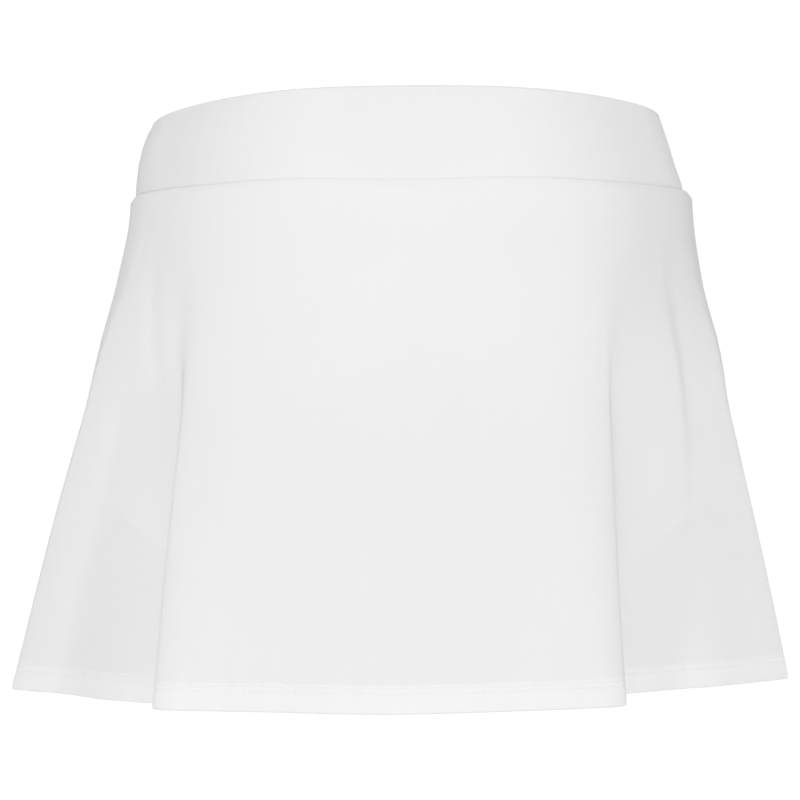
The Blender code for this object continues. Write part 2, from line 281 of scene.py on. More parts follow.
Look = namedtuple("Look", "base left right side_from side_to hem single backed streaks streak_share wobble")
SKIRT_LOOK = Look(0.44, -0.20, -0.60, 0.078, 0.162, 0.26, -0.20, 0.16, 260.0, 0.06, 0.0004)
BAND_LOOK = Look(0.48, -0.40, -0.40, 0.040, 0.125, 0.0, 0.0, 0.0, 330.0, 0.18, 0.0002)
DOUBLE_SOFTNESS = 0.0012  # of the painted light's edge at the raw edge of the hem
SIDE_SHADE_FOOT = -0.140  # the height where the painted shade of the sides fades out, and where it is full
SIDE_SHADE_FULL = -0.070
SINGLE_SHADE_FROM = -0.09  # the height from which the front hangs free, one layer with nothing white behind it, painted darker as shade
SINGLE_SHADE_TO = -0.18
SINGLE_SHADE_WIDTH = 0.062  # either side of the middle
SINGLE_SHADE_MIDDLE = 0.7  # share of that painted shade which only the middle has
LEG_EDGE = -0.227  # height of the soft edge of the painted light on the outer thighs
LEG_EDGE_FROM = 0.125  # how far off the middle it has that height
LEG_EDGE_SLOPE = 0.69  # how steeply it rises outwards
LEG_EDGE_SOFTNESS = 0.003
LEG_WIDTH = 0.022  # of the painted light

# The camera, the light, the backdrop and floor, and the soft creases and ripples in the cloth.

SENSOR_WIDTH = 36.0  # millimetres, as the lens
LENS = 117.4
EYE = (-0.0052, -1.5, -0.1424)
EYE_ROLL = 0.4526  # degrees
BACKDROP_GLOW = 1.03
DOME_RADIUS = 8.0
DOME_SEGMENTS = 48
DOME_RINGS = 24
FLOOR_SIZE = 15.0
FLOOR_HEIGHT = -2.6
ROOM_LIGHT = 0.59  # even light from all round
Lamp = namedtuple("Lamp", "name side height spread share")  # angles in degrees, seen from the skirt
LAMPS = (
    Lamp("front_lamp", 0.0, 4.0, 6.0, 0.47),
    Lamp("back_lamp", 180.0, 10.0, 20.0, 0.32),
)

CREASE_TAPER = 0.35  # share of a crease's length over which each end fades
Crease = namedtuple("Crease", "angle drop end_angle end_drop width height")
CREASES = (
    Crease(-64.0, 0.020, -57.8, 0.120, 0.0052, -0.0010),
    Crease(-66.5, 0.012, -69.5, 0.060, 0.0035, -0.0004),
    Crease(34.0, 0.0150, 56.5, 0.0055, 0.0030, 0.0007),
    Crease(36.0, 0.0075, 50.0, 0.0022, 0.0024, -0.0003),
    Crease(-44.0, 0.0120, -62.0, 0.0035, 0.0034, 0.0003),
    Crease(66.0, 0.030, 63.0, 0.068, 0.0058, -0.0005),
    Crease(-68.0, 0.176, -60.5, 0.192, 0.0028, -0.0004),
    Crease(-60.5, 0.192, -54.0, 0.200, 0.0028, -0.0004),
    Crease(66.0, 0.168, 75.0, 0.190, 0.0034, -0.0004),
    Crease(-4.0, 0.120, -2.0, 0.262, 0.0120, -0.0006),
    Crease(8.0, 0.035, 6.0, 0.150, 0.0140, 0.0003),
    Crease(-152.0, 0.016, -166.0, 0.004, 0.0034, 0.0004),
    Crease(147.0, 0.012, 158.0, 0.052, 0.0042, -0.0005),
    Crease(-129.0, 0.020, -133.0, 0.098, 0.0044, -0.0007),
    Crease(122.0, 0.016, 127.0, 0.104, 0.0040, -0.0008),
    Crease(176.0, 0.030, 178.0, 0.090, 0.0050, -0.0005),
    Crease(-118.0, 0.170, -108.0, 0.186, 0.0032, -0.0004),
    Crease(104.0, 0.160, 113.0, 0.182, 0.0034, -0.0004),
)

Ripple = namedtuple("Ripple", "waves height start")
HEM_RIPPLES = (Ripple(31, 0.00020, 0.4), Ripple(73, 0.00014, 2.1), Ripple(127, 0.00008, 4.4))
RIPPLE_RISE = 0.024  # how far above the hem they fade out


def smooth_through(x, knots, values):
    """A smooth curve through the knots that stays between its values and starts level."""
    knots = np.asarray(knots, float)
    values = np.asarray(values, float)
    widths = np.diff(knots)
    rises = np.diff(values) / widths
    slopes = np.zeros(len(knots))
    same_way = rises[:-1] * rises[1:] > 0
    weight = (widths[1:] + 2 * widths[:-1]) / (3 * (widths[1:] + widths[:-1]))
    product = rises[:-1] * rises[1:]
    blend = weight * rises[1:] + (1 - weight) * rises[:-1]
    slopes[1:-1][same_way] = (product / np.where(same_way, blend, 1))[same_way]
    slopes[-1] = rises[-1]
    x = np.clip(x, knots[0], knots[-1])
    cell = np.clip(np.searchsorted(knots, x, side="right") - 1, 0, len(widths) - 1)
    t = (x - knots[cell]) / widths[cell]
    start, end = values[cell], values[cell + 1]
    lift_start = slopes[cell] * widths[cell]
    lift_end = slopes[cell + 1] * widths[cell]
    return (
        start * (2 * t**3 - 3 * t**2 + 1)
        + lift_start * (t**3 - 2 * t**2 + t)
        + end * (3 * t**2 - 2 * t**3)
        + lift_end * (t**3 - t**2)
    )


def at_drop(table, drop, column):
    return smooth_through(drop, [row.drop for row in table], [getattr(row, column) for row in table])


def oval_radius(angle, left, right, front, back, squareness):
    """Distance from the axis to a squarish oval with its own reach on each of four sides."""
    turn = np.radians(angle)
    across, along = np.sin(turn), np.cos(turn)
    side = np.where(across < 0, left, right)
    face = np.where(along > 0, front, back)
    return (np.abs(across / side) ** squareness + np.abs(along / face) ** squareness) ** (-1 / squareness)


def plan_points(angle, radius):
    turn = np.radians(angle)
    return np.stack([radius * np.sin(turn), -radius * np.cos(turn)], axis=-1)


def section_radius(angle, drop):
    names = ("left", "right", "front", "back", "squareness")
    return oval_radius(angle, *(at_drop(SECTIONS, drop, name) for name in names))


def fold_angle(fold, drop):
    levels = (HIP_DROP, MID_DROP, HEM_DROP)
    return smooth_through(drop, levels, (fold.hip_angle, fold.mid_angle, fold.hem_angle))


def fold_inset(fold, drop):
    levels = (fold.start, UPPER_DROP, MID_DROP, HEM_DROP)
    insets = (0.0, fold.upper_inset, fold.mid_inset, fold.hem_inset)
    return smooth_through(drop, levels, insets)


def seam_height(angle):
    """Height of the ditch under the waistband: level, with a low crest each side of the centres."""
    from_centre = (angle + 90.0) % 180.0 - 90.0
    from_crests = (from_centre - SEAM_CREST_ANGLE, from_centre + SEAM_CREST_ANGLE)
    return SEAM_HEIGHT + SEAM_CREST * sum(np.exp(-((away / SEAM_CREST_WIDTH) ** 2)) for away in from_crests)


def skirt_height(angle, drop):
    side = np.sin(np.radians(angle)) ** 4
    share = drop / HEM_DROP
    crest = (seam_height(angle) - SEAM_HEIGHT) * (1 - share)
    return SEAM_HEIGHT - SEAM_GAP / 2 + crest - drop - HEM_SIDE_EXTRA * side * share


def fade(share):
    """0 at the start and end of a crease, 1 along its middle."""
    from_end = np.clip(np.minimum(share, 1 - share) / CREASE_TAPER, 0, 1)
    return from_end**2 * (3 - 2 * from_end)


def crease_relief(angle, radius, drop):
    """How far the cloth stands out at soft creases, in metres."""
    total = np.zeros_like(angle)
    for crease in CREASES:
        across = np.radians(crease.end_angle - crease.angle) * radius
        down = crease.end_drop - crease.drop
        along = np.radians((angle - crease.angle + 180) % 360 - 180) * radius
        length = np.hypot(across, down)
        share = (along * across + (drop - crease.drop) * down) / length**2
        away = (along * down - (drop - crease.drop) * across) / length
        total += crease.height * np.exp(-((away / crease.width) ** 2)) * fade(share)
    return total


def hem_ripples(drop, turn):
    """Small waves along the hem, where the stitches have drawn the cloth in unevenly."""
    fade_in = np.exp(-((HEM_DROP - drop) / RIPPLE_RISE) ** 2)
    waves = [ripple.height * np.sin(ripple.waves * turn + ripple.start) for ripple in HEM_RIPPLES]
    return fade_in * sum(waves)


def hem_relief(drop):
    """How deep the outer face lies at the hem's stitches, in metres, less than nothing where it swells."""
    rise = HEM_DROP - drop
    depth = 0.0
    for row in (UPPER_STITCHES, LOWER_STITCHES):
        depth += STITCH_GROOVE * np.exp(-(((rise - row) / STITCH_GROOVE_WIDTH) ** 2))
    between = (UPPER_STITCHES + LOWER_STITCHES) / 2
    depth -= HEM_SWELL * np.exp(-(((rise - between) / STITCH_GROOVE_WIDTH) ** 2))
    depth -= HEM_SWELL * np.exp(-(((rise - LOWER_STITCHES / 2) / (LOWER_STITCHES / 3)) ** 2))
    return depth


def sunk(points, along, up, depth):
    """Points of a face this deep in the cloth, where the face runs along and up."""
    normal = np.cross(along, up)
    normal /= np.linalg.norm(normal, axis=1, keepdims=True)
    return points - normal * np.reshape(depth, (-1, 1))


class Skirt:
    """The outer face of the skirt, as points at any drop and any place along the hem."""

    def __init__(self):
        angles = np.array([fold.hem_angle for fold in FOLDS], float)
        radii = section_radius(angles, HEM_DROP) - [fold.hem_inset for fold in FOLDS]
        corners = plan_points(angles, radii)
        steps = np.linalg.norm(np.roll(corners, -1, axis=0) - corners, axis=1)
        self.knots = np.concatenate([[0.0], np.cumsum(steps)])
        self.length = self.knots[-1]
        self.places = np.arange(HEM_SAMPLES) * self.length / HEM_SAMPLES
        self.twice = np.arange(2 * HEM_SAMPLES) * self.length / HEM_SAMPLES
        softness = self.along([fold.softness for fold in FOLDS])
        apart = np.abs(self.places[:, None] - self.places[None, :])
        apart = np.minimum(apart, self.length - apart)
        self.weights = np.exp(-0.5 * (apart / softness[:, None]) ** 2)
        self.weights /= self.weights.sum(axis=1, keepdims=True)
        self.seams = [self.place_of(LEFT_SEAM), self.place_of(RIGHT_SEAM)]
        self.known_outlines = {}

    def along(self, values, wrap=0.0):
        """One value for each sample, on straight lines between the folds' own values."""
        return np.interp(self.places, self.knots, list(values) + [values[0] + wrap])

    def place_of(self, name):
        return self.knots[[fold.name for fold in FOLDS].index(name)]

    def outline(self, drop):
        """The skirt's closed outline in plan at this drop: angles and radii of all the samples."""
        if drop not in self.known_outlines:
            self.known_outlines[drop] = self.work_out_outline(drop)
        return self.known_outlines[drop]

    def work_out_outline(self, drop):
        level = 360.0 * self.places / self.length
        angle = self.along([fold_angle(fold, drop) for fold in FOLDS], wrap=360.0)
        angle = level + self.weights @ (angle - level)
        inset = self.weights @ self.along([fold_inset(fold, drop) for fold in FOLDS])
        roll = SHOULDER_INSET * max(0.0, 1 - drop / SHOULDER_DROP) ** SHOULDER_CURVE
        roll = roll * (SHOULDER_FRONT + (1 - SHOULDER_FRONT) * np.sin(np.radians(angle)) ** 4)
        radius = section_radius(angle, drop) - inset - roll + hem_ripples(drop, np.radians(level))
        return angle, radius + crease_relief(angle, radius, drop)

    def points(self, drop, places):
        """Points on the outer face at these places along the hem."""
        angle, radius = self.outline(drop)
        angle = np.interp(places % self.length, self.twice, np.concatenate([angle, angle + 360.0]))
        radius = np.interp(places % self.length, self.twice, np.tile(radius, 2))
        half = self.length / 2
        seam_away = [np.abs((places - seam + half) % self.length - half) for seam in self.seams]
        radius = radius - DITCH_DEPTH * np.exp(-((np.minimum(*seam_away) / DITCH_WIDTH) ** 2))
        return np.column_stack([plan_points(angle, radius), skirt_height(angle, drop)])

    def face(self, drop, places, depth=0.0):
        """Points this deep under the outer face."""
        step = NORMAL_STEP
        along = self.points(drop, places + step) - self.points(drop, places - step)
        up = self.points(max(drop - step, 0.0), places) - self.points(drop + step, places)
        return sunk(self.points(drop, places), along, up, depth)

    def turn(self, drop):
        """How far the outline turns at each sample, in degrees."""
        points = plan_points(*self.outline(drop))
        ahead = np.roll(points, -1, axis=0) - points
        heading = np.arctan2(ahead[:, 1], ahead[:, 0])
        turn = (np.roll(heading, -1) - heading + np.pi) % (2 * np.pi) - np.pi
        return np.degrees(np.abs(turn))

    def columns(self, first, last):
        """Places along the hem from one seam to the next, closer together at bends and at the seams."""
        turn = np.tile(np.maximum(self.turn(MID_DROP), self.turn(HEM_DROP)), 2)
        step = self.length / HEM_SAMPLES
        from_ends = np.minimum(np.abs(self.twice - first), np.abs(self.twice - last))
        pace = step / COLUMN_SPACING + turn / COLUMN_TURN
        pace = pace + step / SIDE_COLUMN_SPACING * np.exp(-((from_ends / SIDE_COLUMN_REACH) ** 2))
        count = np.cumsum(pace)
        start, end = np.interp([first, last], self.twice, count)
        columns = int(round(end - start))
        return np.interp(np.linspace(start, end, columns + 1), count, self.twice)


def spaced(start, end, step):
    """Evenly spaced numbers from start up to, but without, end."""
    return list(np.linspace(start, end, max(1, int(round(abs(end - start) / step))), endpoint=False))


def skirt_profile():
    """The cut through the cloth from the seam to the hem and back up inside, as (drop, depth) pairs."""
    fold_start = HEM_DROP - HEM_EDGE_RADIUS
    raw_edge = HEM_DROP - TURN_UP
    hem_start = raw_edge - HEM_MARGIN
    turned_up_start = fold_start - HEM_MARGIN
    turned_up_end = raw_edge + RAW_EDGE_MARGIN
    lip = [(0.0, LIP_WIDTH), (0.0, 0.0), (LIP_DROP, 0.0)]
    shoulder = [(drop, 0.0) for drop in spaced(SHOULDER_ROW_STEP, SHOULDER_DROP, SHOULDER_ROW_STEP)]
    outer = [(drop, 0.0) for drop in spaced(SHOULDER_DROP, hem_start, ROW_STEP)]
    hem = [(drop, hem_relief(drop)) for drop in spaced(hem_start, fold_start, HEM_ROW_STEP)]
    fold = []
    for turn in np.linspace(0, np.pi, HEM_FOLD_POINTS):
        fold.append((fold_start + HEM_EDGE_RADIUS * np.sin(turn), HEM_EDGE_RADIUS * (1 - np.cos(turn))))
    turned_up = [(drop, HEM_THICKNESS) for drop in spaced(turned_up_start, turned_up_end, HEM_ROW_STEP * 2)]
    step_in = [(raw_edge + past, depth) for past, depth in RAW_EDGE_CUT]
    inner = [(drop, KNIT) for drop in spaced(raw_edge - RAW_EDGE_MARGIN, SHOULDER_DROP, INNER_ROW_STEP)]
    top = [(drop, KNIT) for drop in TOP_DROPS]
    return lip + shoulder + outer + hem + fold + turned_up + step_in + inner + top


def reached(points):
    """Distance along a row of points, from its first to each of them."""
    return np.concatenate([[0.0], np.cumsum(np.linalg.norm(np.diff(points, axis=0), axis=1))])


def flat_pattern(share, drop, top_width, hem_width):
    """Where a point of the panel lay when the cloth was flat: the knit's own coordinates."""
    spread = (hem_width - top_width) / HEM_DROP
    reach = top_width / spread + drop
    turn = (share - 0.5) * spread
    return np.column_stack([reach * np.sin(turn), -reach * np.cos(turn)])


def new_piece(name, verts, faces, material):
    mesh = bpy.data.meshes.new(name)
    mesh.from_pydata(verts.reshape(-1, 3).tolist(), [], faces)
    mesh.shade_smooth()
    mesh.materials.append(material)
    piece = bpy.data.objects.new(name, mesh)
    bpy.context.scene.collection.objects.link(piece)
    return piece


def shell(name, rings, flat, edge, material):
    """A closed cloth mesh: rings[i][j] is point i of the profile at column j, flat its knit coordinates.

    edge holds how far along the hem or seam the point is and how far above it, for what follows that edge.
    """
    rings, flat, edge = np.array(rings), np.array(flat), np.array(edge)
    rows, columns = rings.shape[:2]
    index = np.arange(rows * columns).reshape(rows, columns)
    below = np.roll(index, -1, axis=0)
    quads = np.stack([index[:, :-1], below[:, :-1], below[:, 1:], index[:, 1:]], axis=-1).reshape(-1, 4)
    faces = quads.tolist() + [index[:, 0].tolist()[::-1], index[:, -1].tolist()]
    piece = new_piece(name, rings, faces, material)
    corner = np.empty(len(piece.data.loops), np.int32)
    piece.data.loops.foreach_get("vertex_index", corner)
    for layer_name, places in (("Knit", flat), ("Edge", edge)):
        layer = piece.data.uv_layers.new(name=layer_name)
        layer.data.foreach_set("uv", places.reshape(-1, 2)[corner].astype(np.float32).ravel())
    return piece


def band_radius(angle, level):
    levels = [ring.level for ring in BAND_RINGS]
    left, right, depth = (
        smooth_through(level, levels, [getattr(ring, side) for ring in BAND_RINGS])
        for side in ("left", "right", "depth")
    )
    return oval_radius(angle, left, right, depth, depth, BAND_SQUARENESS)


def band_top(angle):
    turn = np.sin(np.radians(angle))
    side = BAND_TOP_LEFT + (BAND_TOP_RIGHT - BAND_TOP_LEFT) * (1 + turn) / 2
    return side + (BAND_TOP_FRONT - side) * (1 - turn**4)


def band_points(angle, rise):
    """Points of the band's outer face at this rise; below the seam it goes straight down."""
    foot = seam_height(angle) + SEAM_GAP / 2
    level = np.clip(rise / (band_top(angle) - foot), 0.0, 1.0)
    return np.column_stack([plan_points(angle, band_radius(angle, level)), foot + rise])


def band_face(angle, rise, depth):
    """Points this deep under the band's outer face."""
    along = band_points(angle + NORMAL_TURN, rise) - band_points(angle - NORMAL_TURN, rise)
    up = band_points(angle, rise + NORMAL_STEP) - band_points(angle, rise - NORMAL_STEP)
    return sunk(band_points(angle, rise), along, up, depth)


def waistband_half(name, first, last, material):
    """Half of the band: the outer face, the allowance below it, the inner face and the folded edge."""
    angle = np.linspace(first, last, int(round((last - first) / BAND_STEP)) + 1)
    radius = BAND_THICKNESS / 2
    height = band_top(angle) - seam_height(angle) - SEAM_GAP / 2 - radius
    side_away = np.radians(np.minimum(angle - first, last - angle)) * BAND_SIDE_REACH
    ditch = DITCH_DEPTH * np.exp(-((side_away / DITCH_WIDTH) ** 2))
    cuts = [(share * height, 0.0) for share in np.linspace(1.0, BAND_ROWS_END, BAND_ROWS)]
    cuts += [(rise, ROLL * (1 - rise / ROLL_HEIGHT) ** 2) for rise in ROLL_RISES]
    cuts += ALLOWANCE_CUT
    inner_shares = np.linspace(BAND_INNER_START, 1.0, BAND_INNER_ROWS)
    cuts += [(share * height, BAND_THICKNESS) for share in inner_shares]
    for turn in np.linspace(0, np.pi, BAND_FOLD_POINTS)[1:-1]:
        cuts.append((height + radius * np.sin(turn), radius * (1 + np.cos(turn))))
    rings = []
    flat = []
    for rise, depth in cuts:
        rise = np.broadcast_to(rise, angle.shape)
        rings.append(band_face(angle, rise, depth + ditch))
        flat.append(np.column_stack([np.radians(angle) * BAND_GIRTH, rise]))
    return shell(name, rings, flat, flat, material)


def tucked_in(lip):
    """The skirt's edge turned in from the ledge to the foot of the band: lower and upper points, width."""
    angle = np.degrees(np.arctan2(lip[:, 0], -lip[:, 1]))
    reach = np.hypot(lip[:, 0], lip[:, 1])
    radius = np.minimum(band_radius(angle, np.zeros(len(angle))) - ROLL, reach - TUCK_LEAST)
    upper = np.column_stack([plan_points(angle, radius), lip[:, 2] - TUCK_FALL])
    return upper - (0.0, 0.0, TUCK_THICKNESS), upper, reach - radius


def skirt_panel(skirt, name, first, last, material):
    """A panel from one side seam to the other, with its hem turned up and its top edge turned in."""
    places = skirt.columns(first, last)
    top, hem = (reached(skirt.points(drop, places))[-1] for drop in (SHOULDER_DROP, HEM_DROP))
    rings = []
    flat = []
    edge = []
    for drop, depth in skirt_profile():
        along = reached(skirt.points(drop, places))
        rings.append(skirt.face(drop, places, depth))
        flat.append(flat_pattern(along / along[-1], drop, top, hem))
        edge.append(np.column_stack([along, np.full(len(along), HEM_DROP - drop)]))
    lower, upper, width = tucked_in(rings[0])
    along = edge[0][:, 0]
    rings += [lower, upper]
    flat += [flat_pattern(along / along[-1], -width, top, hem)] * 2
    edge += [np.column_stack([along, HEM_DROP + width])] * 2
    return shell(name, rings, flat, edge, material)


def tube(name, lines, outward, radii, material):
    """One mesh of many threads: lines[i][j] is point j of thread i, outward the way out of the cloth."""
    along = np.gradient(lines, axis=1)
    sideways = np.cross(along, outward)
    sideways /= np.linalg.norm(sideways, axis=2, keepdims=True)
    upright = np.cross(sideways, along)
    upright /= np.linalg.norm(upright, axis=2, keepdims=True)
    count, points = lines.shape[:2]
    turn = 2 * np.pi * np.arange(THREAD_SIDES) / THREAD_SIDES
    ring = np.cos(turn)[:, None] * upright[:, :, None] + np.sin(turn)[:, None] * sideways[:, :, None]
    verts = lines[:, :, None] + ring * np.reshape(radii, (1, -1, 1, 1))
    index = np.arange(count * points * THREAD_SIDES).reshape(count, points, THREAD_SIDES)
    beside = np.roll(index, -1, axis=2)
    quads = np.stack([index[:, :-1], index[:, 1:], beside[:, 1:], beside[:, :-1]], axis=-1).reshape(-1, 4)
    faces = quads.tolist() + index[:, 0].tolist() + index[:, -1, ::-1].tolist()
    return new_piece(name, verts, faces, material)


def even_places(skirt, drop, first, last, pitch):
    """Places along the hem, evenly spaced in true distance at this drop."""
    fine = np.linspace(first, last, int((last - first) / PLACE_STEP))
    distance = reached(skirt.points(drop, fine))
    starts = np.arange(STITCH_GAP / 2, distance[-1] - pitch, pitch)
    return np.interp(starts, distance, fine)


def hem_stitches(skirt, name, first, last, material):
    """Two rows of needle stitches around the hem, as a cover-stitch machine leaves them."""
    points = len(STITCH_ARCH)
    lines = []
    outward = []
    for rise in (UPPER_STITCHES, LOWER_STITCHES):
        drop = HEM_DROP - rise
        starts = even_places(skirt, drop, first, last, STITCH_LENGTH + STITCH_GAP)
        reach = STITCH_LENGTH / (STITCH_LENGTH + STITCH_GAP) * np.gradient(starts)
        places = (starts[:, None] + reach[:, None] * np.linspace(0, 1, points)).ravel()
        depth = hem_relief(drop) + np.tile(STITCH_ARCH, len(starts))
        above = skirt.face(drop, places, depth)
        below = skirt.face(drop, places, depth + PROBE)
        lines.append(above.reshape(-1, points, 3))
        outward.append((above - below).reshape(-1, points, 3))
    radii = THREAD * np.array(STITCH_TAPER)
    return tube(name, np.concatenate(lines), np.concatenate(outward), radii, material)


def hem_looper(skirt, name, first, last, material):
    """The thread that zigzags over the raw edge inside the hem, between the two rows of needles."""
    starts = even_places(skirt, HEM_DROP - UPPER_STITCHES, first, last, STITCH_LENGTH + STITCH_GAP)
    line = []
    outward = []
    for share, rise in LOOPER_TURNS:
        places = starts + share * np.gradient(starts)
        line.append(skirt.face(HEM_DROP - rise, places, HEM_THICKNESS + LOOPER_THREAD))
        outward.append(line[-1] - skirt.face(HEM_DROP - rise, places, HEM_THICKNESS - PROBE))
    line = np.stack(line, axis=1).reshape(1, -1, 3)
    outward = np.stack(outward, axis=1).reshape(1, -1, 3)
    return tube(name, line, outward, np.full(line.shape[1], LOOPER_THREAD), material)


def overlock(name, near, over, far, material):
    """A thread wound round a cut edge: its points on one face, past the edge and on the other face."""
    loop = np.stack([near, over, far, over], axis=1)
    loop[1:, 0] = (near[1:] + near[:-1]) / 2
    line = loop.reshape(1, -1, 3)
    outward = np.broadcast_to(OVERLOCK_OUTWARD, line.shape)
    return tube(name, line, outward, np.full(line.shape[1], LOOPER_THREAD), material)


def waist_overlock(name, first, last, material):
    girth = np.radians(last - first) * BAND_GIRTH
    angle = np.linspace(first, last, int(girth / OVERLOCK_STEP))[1:-1]
    outside = ALLOWANCE_FACE - OVERLOCK_STAND
    on_cloth = np.full(len(angle), OVERLOCK_WIDTH - ALLOWANCE)
    past_edge = np.full(len(angle), -OVERLOCK_PAST - ALLOWANCE)
    near = band_face(angle, on_cloth, outside)
    over = band_face(angle, past_edge, (outside + ALLOWANCE_BACK) / 2)
    far = band_face(angle, on_cloth, ALLOWANCE_BACK + OVERLOCK_STAND)
    return overlock(name, near, over, far, material)


def side_allowance(skirt, name, seam, material, thread):
    """The side seam's edges inside the skirt: sewn together, turned to the back and overlocked."""
    back = 1.0 if seam == skirt.seams[1] else -1.0
    reach, under = np.transpose(SIDE_CUT)
    places = seam + back * np.concatenate([reach, reach[::-1]])
    depth = KNIT + np.concatenate([under, under[::-1] + 2 * KNIT])
    drops = np.linspace(ALLOWANCE / 2, HEM_DROP - TURN_UP - SIDE_END, SIDE_ROWS)
    rings = np.stack([skirt.face(drop, places, depth) for drop in drops], axis=1)
    flat = np.stack(np.broadcast_arrays((places - seam)[:, None], -drops), axis=2)
    strip = shell(name, rings, flat, flat, material)
    on_cloth = SEAM_ALLOWANCE - SIDE_OVERLOCK_WIDTH
    edge = seam + back * np.array([on_cloth, SEAM_ALLOWANCE + OVERLOCK_PAST, on_cloth])
    depth = np.array([KNIT + OVERLOCK_STAND, 2 * KNIT, 3 * KNIT + 2 * OVERLOCK_STAND])
    loops = [skirt.face(drop, edge, depth) for drop in np.arange(ALLOWANCE, drops[-1], OVERLOCK_STEP)]
    near, over, far = np.stack(loops, axis=1)
    return strip, overlock(name + "_overlock", far, over, near, thread)


class Finish:
    """One material, built up from nodes around its shader."""

    def __init__(self, name, roughness, sheen):
        self.material = bpy.data.materials.new(name)
        self.material.use_nodes = True
        self.tree = self.material.node_tree
        self.shader = self.tree.nodes["Principled BSDF"]
        self.shader.inputs["Roughness"].default_value = roughness
        self.shader.inputs["Sheen Weight"].default_value = sheen
        self.shader.inputs["Sheen Roughness"].default_value = SHEEN_ROUGHNESS
        self.shader.inputs["Specular IOR Level"].default_value = SPECULAR
        self.normal = None

    def feed(self, socket, value):
        if isinstance(value, bpy.types.NodeSocket):
            self.tree.links.new(value, socket)
        else:
            socket.default_value = value

    def math(self, operation, first, second=0.0):
        node = self.tree.nodes.new("ShaderNodeMath")
        node.operation = operation
        self.feed(node.inputs[0], first)
        self.feed(node.inputs[1], second)
        return node.outputs["Value"]

    def product(self, first, *others):
        result = first
        for value in others:
            result = self.math("MULTIPLY", result, value)
        return result

    def rest(self, share):
        """What is left of 1 beside this share."""
        return self.math("SUBTRACT", 1.0, share)

    def layer(self, name):
        """The point's place in one of the cloth's own maps: as a vector, and its two coordinates."""
        place = self.tree.nodes.new("ShaderNodeUVMap")
        place.uv_map = name
        parts = self.tree.nodes.new("ShaderNodeSeparateXYZ")
        self.tree.links.new(place.outputs["UV"], parts.inputs["Vector"])
        return place.outputs["UV"], parts.outputs["X"], parts.outputs["Y"]

    def in_space(self):
        return self.tree.nodes.new("ShaderNodeTexCoord").outputs["Object"]

    def in_space_parts(self):
        parts = self.tree.nodes.new("ShaderNodeSeparateXYZ")
        self.tree.links.new(self.in_space(), parts.inputs["Vector"])
        return parts.outputs

    def noise(self, place, across, up, detail=2.0):
        """Soft random values from 0 to 1, with so many waves to the metre across and up."""
        mapping = self.tree.nodes.new("ShaderNodeMapping")
        mapping.inputs["Scale"].default_value = (across, up, up)
        texture = self.tree.nodes.new("ShaderNodeTexNoise")
        texture.inputs["Scale"].default_value = 1.0
        texture.inputs["Detail"].default_value = detail
        self.tree.links.new(place, mapping.inputs["Vector"])
        self.tree.links.new(mapping.outputs["Vector"], texture.inputs["Vector"])
        return texture.outputs["Fac"]

    def bell(self, value, middle, width):
        """1 where the value is at the middle, fading to 0 within a few widths."""
        away = self.math("DIVIDE", self.math("SUBTRACT", value, middle), width)
        return self.math("EXPONENT", self.product(away, away, -1.0))

    def step(self, value, low, high):
        """0 below the low value, 1 above the high one and a soft step between."""
        node = self.tree.nodes.new("ShaderNodeMapRange")
        node.interpolation_type = "SMOOTHSTEP"
        self.feed(node.inputs["Value"], value)
        node.inputs["From Min"].default_value = low
        node.inputs["From Max"].default_value = high
        return node.outputs["Result"]

    def total(self, *shares):
        """The sum of (value, weight) pairs."""
        result = 0.0
        for value, weight in shares:
            result = self.math("ADD", result, self.math("MULTIPLY", value, weight))
        return result

    def colour(self, dark, light, share):
        mix = self.tree.nodes.new("ShaderNodeMix")
        mix.data_type = "RGBA"
        mix.inputs["A"].default_value = (*dark, 1.0)
        mix.inputs["B"].default_value = (*light, 1.0)
        self.feed(mix.inputs["Factor"], share)
        self.tree.links.new(mix.outputs["Result"], self.shader.inputs["Base Color"])

    def relief(self, height, distance):
        """Bump of this height in metres where the value is 1."""
        bump = self.tree.nodes.new("ShaderNodeBump")
        bump.inputs["Strength"].default_value = 1.0
        bump.inputs["Distance"].default_value = distance
        self.feed(bump.inputs["Height"], height)
        if self.normal:
            self.tree.links.new(self.normal, bump.inputs["Normal"])
        self.normal = bump.outputs["Normal"]
        self.tree.links.new(self.normal, self.shader.inputs["Normal"])

    def knit(self, x, y):
        """The stitches of a plain knit: columns of small Vs, 1 on the yarn and 0 between."""
        in_column = self.math("SUBTRACT", self.math("FRACT", self.math("DIVIDE", x, WALE)), 0.5)
        from_middle = self.math("ABSOLUTE", in_column)
        from_leg = self.product(self.math("SUBTRACT", from_middle, KNIT_LEG), 1 / KNIT_LEG)
        leg = self.rest(self.product(from_leg, from_leg))
        lean = self.math("ADD", self.math("DIVIDE", y, COURSE), self.product(from_middle, KNIT_LEAN))
        row = self.math("COSINE", self.product(lean, 2 * np.pi))
        return self.product(leg, self.total((row, KNIT_ROWS), (1.0, 1 - KNIT_ROWS)))


